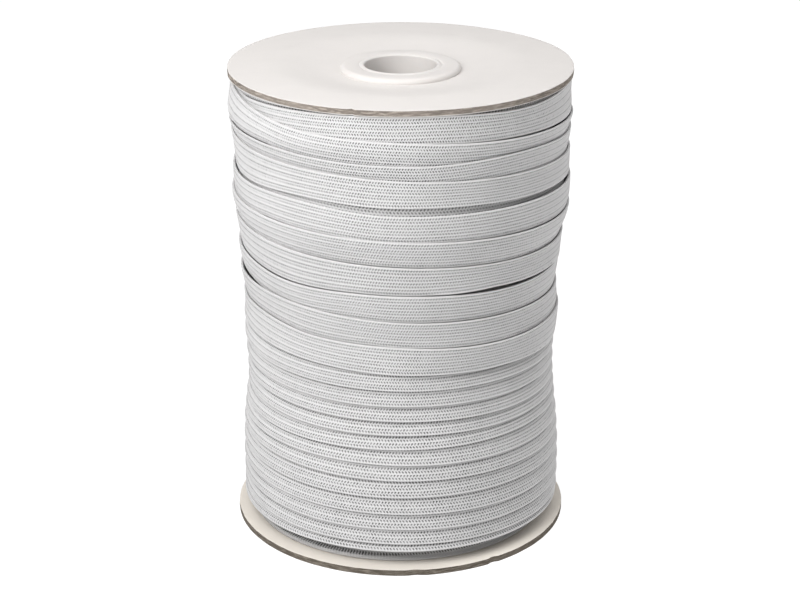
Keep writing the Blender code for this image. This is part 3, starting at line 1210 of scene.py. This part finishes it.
@dataclass
class FootTurn(TurnBelow):
    """The turn at the foot, which stands out on the lower flange and leans in under the last outer turn."""

    starts: float = -0.5
    ends: float = 0.503
    section: BandSection = BandSection(margin=0.93)
    lowest: float = 1.62
    foot_radius: float = 35.1
    left_out: float = 0.8  # how much further out it stands on the viewer's left
    bends_at: float = 2.25  # the height at which it bends in under the turn above
    bends_higher: float = 0.6  # and how much higher that is on the viewer's left
    bend_height: float = 0.45
    bend_slope: float = 12.0
    taper: float = 0.1  # how far it leans in for each millimetre of height
    name: str = "elastic_foot_turn"

    def points(self, turn: np.ndarray, relief: np.ndarray) -> np.ndarray:
        """Places the turn's points on the lower flange.

        Args:
            turn: The columns' places along the band.
            relief: Depth of every point of the braid.

        Returns:
            Points in millimetres, columns by lines by three.
        """
        across = self.section.across()
        places = np.repeat(turn[:, None], len(across), axis=1)
        height = np.tile(self.lowest + self.section.width - across, (len(turn), 1))
        left = 0.5 - 0.5 * np.sin(TAU * places)
        bend = np.clip(height - (self.bends_at + self.bends_higher * left ** 1.5), 0.0, self.bend_height)
        stands = self.foot_radius + self.left_out * left
        radius = stands - self.bend_slope * bend - self.taper * (height - self.lowest) - relief
        return around(radius, places, height)


@dataclass
class Winding:
    """All of the elastic: the outer turns, what shows of the layer below and the heart of the roll."""

    yarn: PolyesterYarn = PolyesterYarn()
    outer: WoundBand = field(default_factory=WoundBand)
    below: tuple[TurnBelow, ...] = field(
        default_factory=lambda: (
            TurnBelow(),
            TurnBelow(starts=0.48, ends=0.8, bake_strips=2, name="elastic_back_turn_below"),
            TopTurnBelow(),
            FootTurn(),
        )
    )
    heart_depth: float = 4.0
    heart_low: float = 1.85
    heart_high: float = 110.15
    foot_radius: float = 29.5
    foot_height: float = 7.5
    waist_from: float = 9.0  # the heart follows the girth between these heights
    waist_to: float = 108.5
    top_radius: float = 34.6
    sides: int = 96
    stitches: float = 45.0  # to a radian, for the yarn's pattern on the heart
    pair_of_ribs: float = 1.4 * MM

    def heart(self, finish: bpy.types.Material) -> bpy.types.Object:
        """Turns the body of earlier layers, which only closes the winding behind the turns.

        Args:
            finish: The yarn's material.

        Returns:
            The object.
        """
        outline = [(HOLE_RADIUS, self.heart_low), (self.foot_radius, self.heart_low)]
        outline.append((self.foot_radius, self.foot_height))
        for row in self.outer.route.girths:
            if self.waist_from < row.height < self.waist_to:
                outline.append((min(row.left, row.right) - self.heart_depth, row.height))
        outline += [(self.top_radius, self.heart_high), (HOLE_RADIUS, self.heart_high)]
        piece = turn_on_lathe("elastic_heart", outline, self.sides)
        piece.data.materials.append(finish)
        layer = piece.data.uv_layers.new(name="BandMap")
        for loop, corner in zip(piece.data.loops, layer.data):
            place = piece.data.vertices[loop.vertex_index].co
            along = math.atan2(place.x, -place.y) * self.stitches
            corner.uv = (0.25 + along, 0.25 + place.z / self.pair_of_ribs)
        return piece

    def build(self) -> None:
        """Builds and dresses every piece of the winding."""
        finish = self.yarn.make()
        turns = self.outer.build(finish)
        ride(turns[0], Slot.ELASTIC, "elastic_winding")
        for piece in turns[1:]:
            ride(piece, Slot.ELASTIC)
        for layer in self.below:
            for piece in layer.build(finish):
                ride(piece, Slot.ELASTIC)
        ride(self.heart(finish), Slot.ELASTIC)


# The spool


def turn_on_lathe(name: str, outline: Outline, sides: int) -> bpy.types.Object:
    """Draws a ring, extrudes and scales it along a closed outline, and bridges its ends.

    Args:
        name: The object's name.
        outline: (radius, height) points in millimetres, in order around the wall.
        sides: Points around the ring.

    Returns:
        The object, at the origin.
    """
    bpy.ops.object.select_all(action="DESELECT")
    radius, height = outline[0]
    place = (0.0, 0.0, height * MM)
    bpy.ops.mesh.primitive_circle_add(vertices=sides, radius=radius * MM, location=place)
    piece = bpy.context.object
    piece.name = piece.data.name = name
    bpy.ops.object.transform_apply(location=True)
    bpy.ops.object.mode_set(mode="EDIT")
    bpy.ops.mesh.select_mode(type="EDGE")
    bpy.ops.mesh.select_all(action="SELECT")
    for (radius, height), (next_radius, next_height) in zip(outline, outline[1:]):
        rise = (0.0, 0.0, (next_height - height) * MM)
        bpy.ops.mesh.extrude_region_move(TRANSFORM_OT_translate={"value": rise})
        scale = next_radius / radius
        bpy.ops.transform.resize(value=(scale, scale, 1.0), center_override=(0.0, 0.0, 0.0))
    bpy.ops.mesh.select_all(action="DESELECT")
    bpy.ops.mesh.select_non_manifold()
    bpy.ops.mesh.bridge_edge_loops()
    bpy.ops.mesh.select_all(action="SELECT")
    bpy.ops.mesh.normals_make_consistent(inside=False)
    bpy.ops.object.mode_set(mode="OBJECT")
    bpy.ops.object.shade_smooth_by_angle(angle=math.radians(SMOOTH_ANGLE))
    return piece


def at_end(end: End, outline_down: Outline) -> list[Pair]:
    """Sets an outline at one end of the spool.

    Args:
        end: The end.
        outline_down: (radius, depth) points, the depth counted from the rim plane inward.

    Returns:
        (radius, height) points.
    """
    if end is End.UPPER:
        return [(radius, SPOOL_HEIGHT - depth) for radius, depth in outline_down]
    return list(outline_down)


@dataclass(frozen=True)
class Nick:
    """A place where the rim is knocked in."""

    angle: float
    wide: float  # degrees to either side
    deep: float

    def at(self, angle: float) -> float:
        """How far the rim is knocked in at an angle."""
        return self.deep * max(0.0, 1.0 - abs(angle - self.angle) / self.wide)


@dataclass
class Flange:
    """A disc of greyboard with white paper pasted on both faces, drawn in a little by the bushing."""

    end: End
    name: str
    warp: float  # how far the rim bends up and down
    nicks: tuple[Nick, ...]
    radius: float = 40.0
    paper: float = 0.14
    dish: float = 1.5
    dish_from: float = 15.0
    dish_to: float = 30.0
    sides: int = 256
    face_ends: float = 0.12  # how far inside its cut edge each face stops
    cut: float = 0.07  # how far the cut rim wanders in and out
    rim_share: float = 0.2  # of the radius, in which the rim wanders
    slow: float = 1.7  # how closely the waves of the warp follow each other around the rim
    quick: float = 14.0  # and those of the cut
    ply: float = 900.0  # how fast the cut changes through the board, to the metre

    def dish_at(self, radius: float) -> float:
        """How far the board has come in at a radius."""
        out = (radius - self.dish_from) / (self.dish_to - self.dish_from)
        return self.dish * float(1.0 - smooth_step(out))

    def face(self, depth: float, outermost: float) -> list[Pair]:
        """Points across a face, from the hole out.

        Args:
            depth: Depth of the face below the rim plane.
            outermost: Radius at which the face ends.

        Returns:
            (radius, depth) points.
        """
        dish = np.linspace(self.dish_from, self.dish_to, 11).tolist()
        radii = [HOLE_RADIUS, *dish, 33.0, 36.0, 38.0, 39.2, outermost]
        return [(radius, self.dish_at(radius) + depth) for radius in radii]

    def sheet(self, name: str, upper: float, lower: float, edge: Outline) -> bpy.types.Object:
        """Turns one layer of the flange.

        Args:
            name: The object's name.
            upper: Depth of its outer face.
            lower: Depth of its inner face.
            edge: (radius, depth) points down its edge.

        Returns:
            The object.
        """
        outward = self.face(upper, edge[0][0] - self.face_ends)
        inward = self.face(lower, edge[-1][0] - self.face_ends)[::-1]
        return turn_on_lathe(name, at_end(self.end, [*outward, *edge, *inward]), self.sides)

    def roughen(self, piece: bpy.types.Object) -> None:
        """Takes the machine evenness off the rim.

        Args:
            piece: A layer of the flange.
        """
        # The noise is read at another place for each flange, so that the two rims wander differently
        seed = 3.0 + self.end.value
        for vertex in piece.data.vertices:
            flat = Vector((vertex.co.x, vertex.co.y, 0.0))
            from_rim = 1.0 - flat.length / (self.radius * MM)
            share = float(smooth_step(1.0 - from_rim / self.rim_share))
            if share <= 0.0:
                continue
            way = flat.normalized()
            slow = noise.noise(way * self.slow + Vector((seed, 0.0, 0.0)))
            quick = noise.noise(way * self.quick + Vector((0.0, seed, vertex.co.z * self.ply)))
            angle = math.degrees(math.atan2(flat.x, -flat.y))
            knocked = sum(nick.at(angle) for nick in self.nicks)
            # The nicks stay closest to the rim, the warp reaches furthest in
            vertex.co += way * ((self.cut * quick * share ** 6 - knocked * share ** 12) * MM)
            vertex.co.z += self.warp * slow * share * MM

    def build(self, outer: bpy.types.Material, inner: bpy.types.Material, board: bpy.types.Material) -> None:
        """Makes the board and its two papers, and sets them on the roll.

        Args:
            outer: The material of the lining on the outside of the roll.
            inner: The material of the lining that faces the winding.
            board: The cut board's material.
        """
        thick, rim = self.paper, self.radius
        depth = BOARD - thick
        edge = [
            (rim - 0.1, thick),
            (rim - 0.03, thick + 0.08),
            (rim - 0.01, 0.45),
            (rim - 0.05, 0.55),
            (rim, 0.75),
            (rim - 0.04, 0.92),
            (rim - 0.01, 1.1),
            (rim - 0.04, depth - 0.06),
            (rim - 0.12, depth),
        ]
        outer_edge = [(rim - 0.05, 0.02), (rim - 0.02, 0.07), (rim - 0.06, thick)]
        inner_edge = [(rim - 0.08, depth), (rim - 0.03, depth + 0.06), (rim - 0.06, BOARD - 0.02)]
        layers = (
            ("_board", thick, depth, edge, board),
            ("_paper_outside", 0.0, thick, outer_edge, outer),
            ("_paper_inside", depth, BOARD, inner_edge, inner),
        )
        for ending, upper, lower, cut_edge, finish in layers:
            piece = self.sheet(self.name + ending, upper, lower, cut_edge)
            piece.data.materials.append(finish)
            self.roughen(piece)
            stands_for = [self.name] if finish is board else []
            ride(piece, Slot.BOARD, *stands_for)


@dataclass
class Bushing:
    """A moulded bushing: a beaded bore, a fine groove, a soft-edged head and a sleeve in the tube."""

    end: End
    name: str
    crest: float = 0.15  # how far the head's crest lies below the rim plane
    bore: float = 8.35
    head: float = 14.0
    head_edge: float = 1.4
    sleeve: float = 9.9
    reach: float = 8.15
    sides: int = 160

    def outline(self) -> list[Pair]:
        """Draws the wall from the bore over the head to the sleeve's end.

        Returns:
            (radius, depth) points.
        """
        crest, bore, head = self.crest, self.bore, self.head
        bead = [
            (bore + 0.5 - 0.5 * math.cos(turn), crest + 0.4 - 0.4 * math.sin(turn))
            for turn in np.linspace(0.0, math.pi * 0.62, 8)
        ]
        groove = [(bore + 1.0, crest + 0.12), (bore + 1.22, crest + 0.22), (bore + 1.45, crest + 0.13)]
        level = [(bore + 1.8, crest + 0.07), (bore + 2.8, crest + 0.05), (head - 1.5, crest + 0.06)]
        shoulder = [
            (head - 1.1 + 1.1 * math.sin(turn), crest + 1.08 - 1.0 * math.cos(turn))
            for turn in np.linspace(0.1, math.pi * 0.5, 9)
        ]
        under = crest + self.head_edge
        close = [(head - 0.05, under - 0.05), (head - 0.2, under)]
        out, reach = self.sleeve, self.reach
        sleeve = [(out + 0.2, under), (out, under + 0.15), (out - 0.1, reach - 0.15)]
        end = [(out - 0.3, reach), (bore + 0.15, reach), (bore, reach - 0.15)]
        wall = [(bore - 0.02, 0.5 * (reach + crest))]
        return [*bead, *groove, *level, *shoulder, *close, *sleeve, *end, *wall]

    def build(self, plastic: bpy.types.Material) -> None:
        """Turns the bushing and sets it on the roll.

        Args:
            plastic: Its material.
        """
        piece = turn_on_lathe("moulded_" + self.name, at_end(self.end, self.outline()), self.sides)
        piece.data.materials.append(plastic)
        ride(piece, Slot.PLASTIC, self.name)


@dataclass
class CoreTube:
    """The paper tube that the elastic is wound on."""

    inner: float = 10.0
    outer: float = 11.5
    low: float = BOARD
    high: float = SPOOL_HEIGHT - BOARD
    soft: float = 0.15  # how far its edges are broken
    sides: int = 128

    def build(self, paper: bpy.types.Material) -> None:
        """Turns the tube with its edges broken and sets it on the roll.

        Args:
            paper: Its material.
        """
        inner, outer, low, high, soft = self.inner, self.outer, self.low, self.high, self.soft
        outline = [(inner, low + soft), (inner + soft, low), (outer - soft, low), (outer, low + soft)]
        outline += [(outer, high - soft), (outer - soft, high), (inner + soft, high), (inner, high - soft)]
        piece = turn_on_lathe("paper_core_tube", outline, self.sides)
        piece.data.materials.append(paper)
        ride(piece, Slot.TUBE, "core_tube")


@dataclass
class Spool:
    """The two flanges, the tube between them and the bushings in its ends."""

    paper: LiningPaper = LiningPaper()
    # painted light and painted reflection: a brighter, warmer copy of the lining for the lower flange's
    # inner face, which lifts the winding's shade and carries a warm reflected tint
    painted_light_paper: LiningPaper = LiningPaper("painted_light_lining_paper", "#efe8de")
    board: CutGreyboard = CutGreyboard()
    # painted shade: a darker copy of the greyboard for the lower flange's rim, which stands in the shade
    # near the floor
    shaded_board: CutGreyboard = CutGreyboard("shaded_greyboard", "#6f685f", "#9b9286", "#40382f")
    tube: WoundPaper = WoundPaper()
    plastic: MouldedPolypropylene = MouldedPolypropylene()

    def build(self) -> None:
        """Builds and dresses every piece of the spool."""
        paper, plastic = self.paper.make(), self.plastic.make()
        upper = Flange(End.UPPER, "flange_top", 0.12, (Nick(-15.8, 1.2, 0.9),))
        upper.build(paper, paper, self.board.make())
        nicks = (Nick(33.0, 2.0, 0.55), Nick(5.0, 3.0, 0.35))
        lower = Flange(End.LOWER, "flange_bottom", 0.0, nicks, paper=0.05)
        # Its rim is painted shade in the darker greyboard, and its inner face painted light in the brighter,
        # warmer paper
        lower.build(paper, self.painted_light_paper.make(), self.shaded_board.make())
        Bushing(End.UPPER, "bushing_top").build(plastic)
        Bushing(End.LOWER, "bushing_bottom").build(plastic)
        CoreTube().build(self.tube.make())


# The studio


@dataclass(frozen=True)
class Lamp:
    """A soft square light that shines at the upper part of the roll."""

    name: str
    power: float  # watts
    size: float
    distance: float
    azimuth: float  # degrees from the front, to the viewer's right
    elevation: float
    aim: float = 0.09

    def hang(self) -> None:
        """Adds the light, shining at the roll."""
        data = bpy.data.lights.new(self.name, "AREA")
        data.energy = self.power
        data.size = self.size
        lamp = bpy.data.objects.new(self.name, data)
        side, up = math.radians(self.azimuth), math.radians(self.elevation)
        way = Vector((math.sin(side) * math.cos(up), -math.cos(side) * math.cos(up), math.sin(up)))
        lamp.location = way * self.distance + Vector((0.0, 0.0, self.aim))
        lamp.rotation_euler = way.to_track_quat("Z", "Y").to_euler()
        bpy.context.scene.collection.objects.link(lamp)


@dataclass
class Studio:
    """The camera at the photograph's angle, a pale floor and soft light."""

    camera_place: tuple[float, float, float] = (-0.00013, -0.4800, 0.2379)
    look_down: float = 21.03
    lens: float = 96.1
    floor: PaleCard = PaleCard()
    floor_radius: float = 6.0
    sky: float = 0.25
    lamps: tuple[Lamp, ...] = (
        Lamp("window_light", 1.15, 0.24, 0.35, -35.0, 38.0),
        Lamp("ceiling_light", 5.2, 1.2, 1.0, 10.0, 80.0),
        Lamp("far_light", 0.6, 0.3, 0.6, 118.0, 35.0),
    )

    def set_camera(self) -> None:
        """Sets up the camera and the colour handling."""
        scene = bpy.context.scene
        data = bpy.data.cameras.new("photo_camera")
        data.lens = self.lens
        data.clip_start = 0.01
        camera = bpy.data.objects.new("photo_camera", data)
        camera.location = self.camera_place
        camera.rotation_euler = (math.radians(90.0 - self.look_down), 0.0, 0.0)
        scene.collection.objects.link(camera)
        scene.camera = camera
        scene.view_settings.view_transform = "Standard"
        scene.view_settings.look = "None"

    def lay_floor(self) -> None:
        """Lays a round floor of pale card, which glows so that it stays as bright as the photo's."""
        bpy.ops.object.select_all(action="DESELECT")
        bpy.ops.mesh.primitive_circle_add(vertices=96, radius=self.floor_radius, fill_type="NGON")
        floor = bpy.context.object
        floor.name = "pale_floor"
        floor.data.materials.append(self.floor.make())

    def build(self) -> None:
        """Sets up the camera, the floor, the room and its lights."""
        self.set_camera()
        self.lay_floor()
        scene = bpy.context.scene
        world = bpy.data.worlds.new("pale_room")
        world.use_nodes = True
        background = world.node_tree.nodes["Background"]
        background.inputs["Color"].default_value = (1.0, 1.0, 1.0, 1.0)
        background.inputs["Strength"].default_value = self.sky
        scene.world = world
        for lamp in self.lamps:
            lamp.hang()
        LOG.info("studio: camera, floor and %d lights", len(self.lamps))


def main() -> None:
    """Builds the studio, the spool and the winding."""
    logging.basicConfig(level=logging.INFO, format="%(message)s")
    Studio().build()
    Spool().build()
    Winding().build()


if __name__ == "__main__":
    main()
